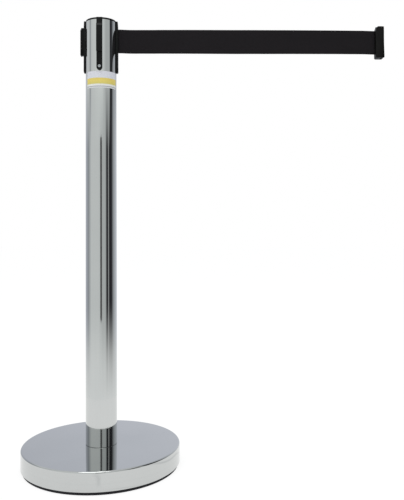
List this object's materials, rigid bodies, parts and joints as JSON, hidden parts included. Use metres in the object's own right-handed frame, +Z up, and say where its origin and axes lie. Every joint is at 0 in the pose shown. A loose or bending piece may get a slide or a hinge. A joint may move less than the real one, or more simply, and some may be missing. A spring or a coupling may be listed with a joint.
{
  "type": "retractable belt stanchion",
  "caption": "Free-standing polished post on a round weighted base, with a spring-reel belt drawn out of its head and receivers for other belts.",
  "frame": {"origin": "centre of the underside, on the surface the base stands on", "axes": "+Z up the post; +X the way the belt is drawn out; -Y the front receiver"},
  "size_m": [0.7558, 0.317, 0.9075],
  "materials": {
    "polished_steel": "mirror polished, faint vertical polishing lines",
    "black_plastic": "satin moulded",
    "clip_plastic": "fine moulded texture",
    "inner_plastic": "plain moulded",
    "webbing": "flat woven",
    "rubber": "matte",
    "cast_iron": "rough cast, primed",
    "zinc_steel": "zinc plated",
    "spring_steel": "blued strip",
    "nylon": "natural nylon",
    "label_film": "printed film, blank with plain colour bands"
  },
  "bodies": {
    "root": {"floor_pad": "rubber", "floor_ring": "rubber", "base_weight": "cast_iron", "base_cover": "polished_steel", "base_bolt": "zinc_steel", "base_washer": "zinc_steel", "base_nut": "zinc_steel", "post_foot_plug": "zinc_steel", "post_tube": "polished_steel", "top_cap": "black_plastic", "blank_label": "label_film", "cassette_body": "inner_plastic", "cassette_lid": "inner_plastic", "reel_axle": "zinc_steel", "power_spring": "spring_steel", "outlet_strip": "black_plastic", "receiver_front": "black_plastic", "receiver_left": "black_plastic", "receiver_back": "black_plastic", "front_screw": "zinc_steel", "left_screw": "zinc_steel", "back_screw": "zinc_steel", "outlet_screw": "zinc_steel"},
    "reel": {"reel_spool": "inner_plastic", "axle_bush_lower": "nylon", "axle_bush_upper": "nylon", "spring_case": "zinc_steel", "belt_coil": "webbing"},
    "belt_end": {"belt_span": "webbing", "clip_body": "clip_plastic", "clip_pin": "zinc_steel", "clip_plug": "clip_plastic"}
  },
  "joints": [
    {"name": "belt_pull", "type": "slide", "parent": "root", "child": "belt_end", "axis": [1, 0, 0], "range_m": [-0.542, 1.46], "deforming": ["belt_span"]},
    {"name": "reel_spin", "type": "hinge", "parent": "root", "child": "reel", "pos_m": [0, 0, 0.8665], "axis": [0, 0, 1], "range_deg": [-3880, 1440], "deforming": ["power_spring"]}
  ],
  "couplings": [
    {"joint": "reel_spin", "follows": "belt_pull", "rad_per_m": -46}
  ]
}
